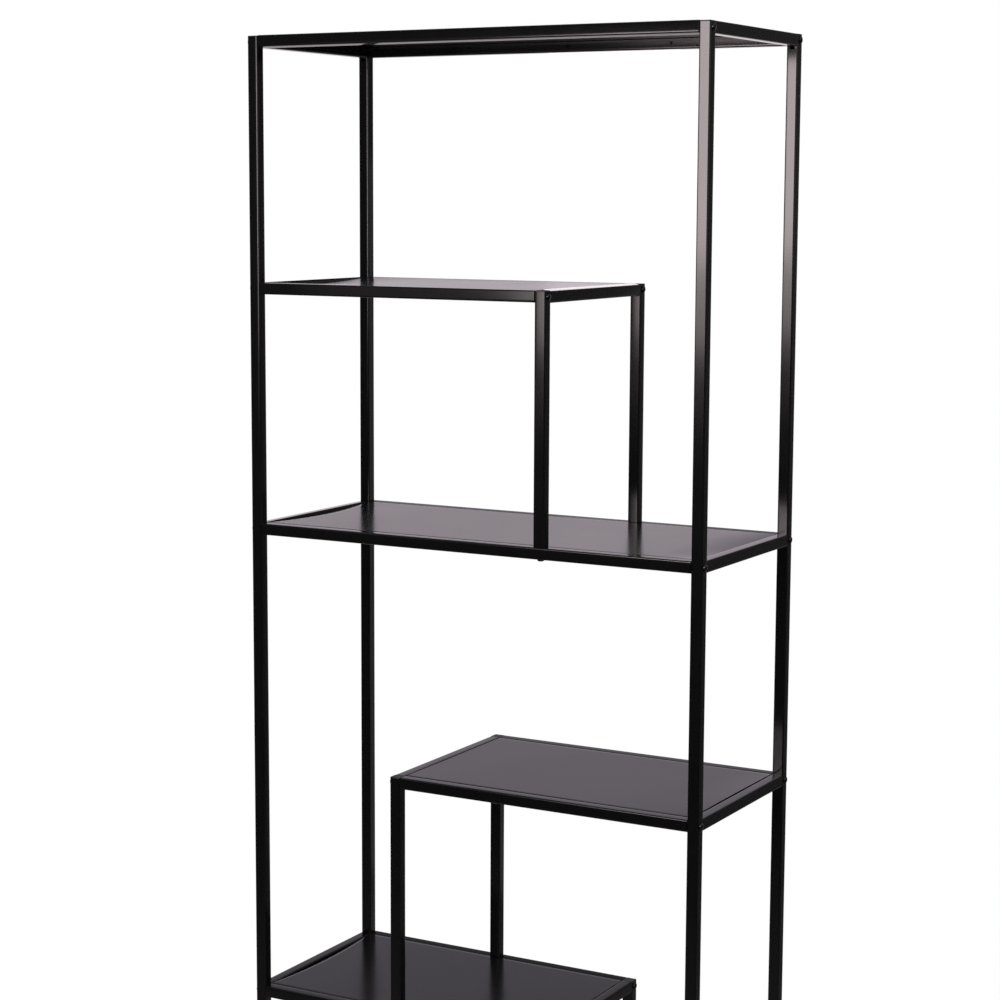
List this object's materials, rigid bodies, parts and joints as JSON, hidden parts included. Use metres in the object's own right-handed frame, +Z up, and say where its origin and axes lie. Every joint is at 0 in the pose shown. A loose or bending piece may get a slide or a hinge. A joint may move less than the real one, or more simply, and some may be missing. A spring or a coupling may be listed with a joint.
{
  "type": "zigzag bookshelf",
  "caption": "Tall open bookshelf of black square steel tube with full and partial sheet-metal shelves stepping left and right, bolted up, on levelling feet.",
  "frame": {"origin": "on the floor under the middle of the unit", "axes": "+X to the right seen from the front, +Y to the back, +Z up"},
  "size_m": [0.7056, 0.3, 1.74],
  "materials": {
    "frame_coat": "black satin powder coat on steel tube",
    "panel_coat": "black satin powder coat on sheet steel",
    "black_bolt": "black zinc plate",
    "zinc_steel": "bright zinc plate",
    "black_plastic": "moulded black nylon"
  },
  "bodies": {
    "frame": {"corner_post_caps": "black_plastic", "foot_inserts": "zinc_steel", "inner_post_bolts": "black_bolt", "inner_post_caps": "black_plastic", "inner_post_inserts": "zinc_steel", "panel_studs": "frame_coat", "post_front_left": "frame_coat", "post_front_right": "frame_coat", "post_rear_left": "frame_coat", "post_rear_right": "frame_coat", "rail_end_inserts": "zinc_steel", "shelf_1_front_rail": "frame_coat", "shelf_1_left_end_rail": "frame_coat", "shelf_1_panel": "panel_coat", "shelf_1_rear_rail": "frame_coat", "shelf_1_right_end_rail": "frame_coat", "shelf_2_front_rail": "frame_coat", "shelf_2_inner_post_front": "frame_coat", "shelf_2_inner_post_rear": "frame_coat", "shelf_2_left_end_rail": "frame_coat", "shelf_2_panel": "panel_coat", "shelf_2_rear_rail": "frame_coat", "shelf_2_right_end_rail": "frame_coat", "shelf_3_front_rail": "frame_coat", "shelf_3_left_end_rail": "frame_coat", "shelf_3_panel": "panel_coat", "shelf_3_rear_rail": "frame_coat", "shelf_3_right_end_rail": "frame_coat", "shelf_4_front_rail": "frame_coat", "shelf_4_inner_post_front": "frame_coat", "shelf_4_inner_post_rear": "frame_coat", "shelf_4_left_end_rail": "frame_coat", "shelf_4_panel": "panel_coat", "shelf_4_rear_rail": "frame_coat", "shelf_4_right_end_rail": "frame_coat", "shelf_5_front_rail": "frame_coat", "shelf_5_inner_post_front": "frame_coat", "shelf_5_inner_post_rear": "frame_coat", "shelf_5_left_end_rail": "frame_coat", "shelf_5_panel": "panel_coat", "shelf_5_rear_rail": "frame_coat", "shelf_5_right_end_rail": "frame_coat", "shelf_6_front_rail": "frame_coat", "shelf_6_left_end_rail": "frame_coat", "shelf_6_panel": "panel_coat", "shelf_6_rear_rail": "frame_coat", "shelf_6_right_end_rail": "frame_coat", "side_bolts": "black_bolt"},
    "foot_front_left": {"foot_pad_front_left": "black_plastic", "foot_stem_front_left": "zinc_steel"},
    "foot_front_right": {"foot_pad_front_right": "black_plastic", "foot_stem_front_right": "zinc_steel"},
    "foot_rear_left": {"foot_pad_rear_left": "black_plastic", "foot_stem_rear_left": "zinc_steel"},
    "foot_rear_right": {"foot_pad_rear_right": "black_plastic", "foot_stem_rear_right": "zinc_steel"}
  },
  "joints": [
    {"name": "foot_front_left_screw", "type": "slide", "parent": "frame", "child": "foot_front_left", "axis": [0, 0, -1], "range_m": [0, 0.01]},
    {"name": "foot_front_right_screw", "type": "slide", "parent": "frame", "child": "foot_front_right", "axis": [0, 0, -1], "range_m": [0, 0.01]},
    {"name": "foot_rear_left_screw", "type": "slide", "parent": "frame", "child": "foot_rear_left", "axis": [0, 0, -1], "range_m": [0, 0.01]},
    {"name": "foot_rear_right_screw", "type": "slide", "parent": "frame", "child": "foot_rear_right", "axis": [0, 0, -1], "range_m": [0, 0.01]}
  ]
}
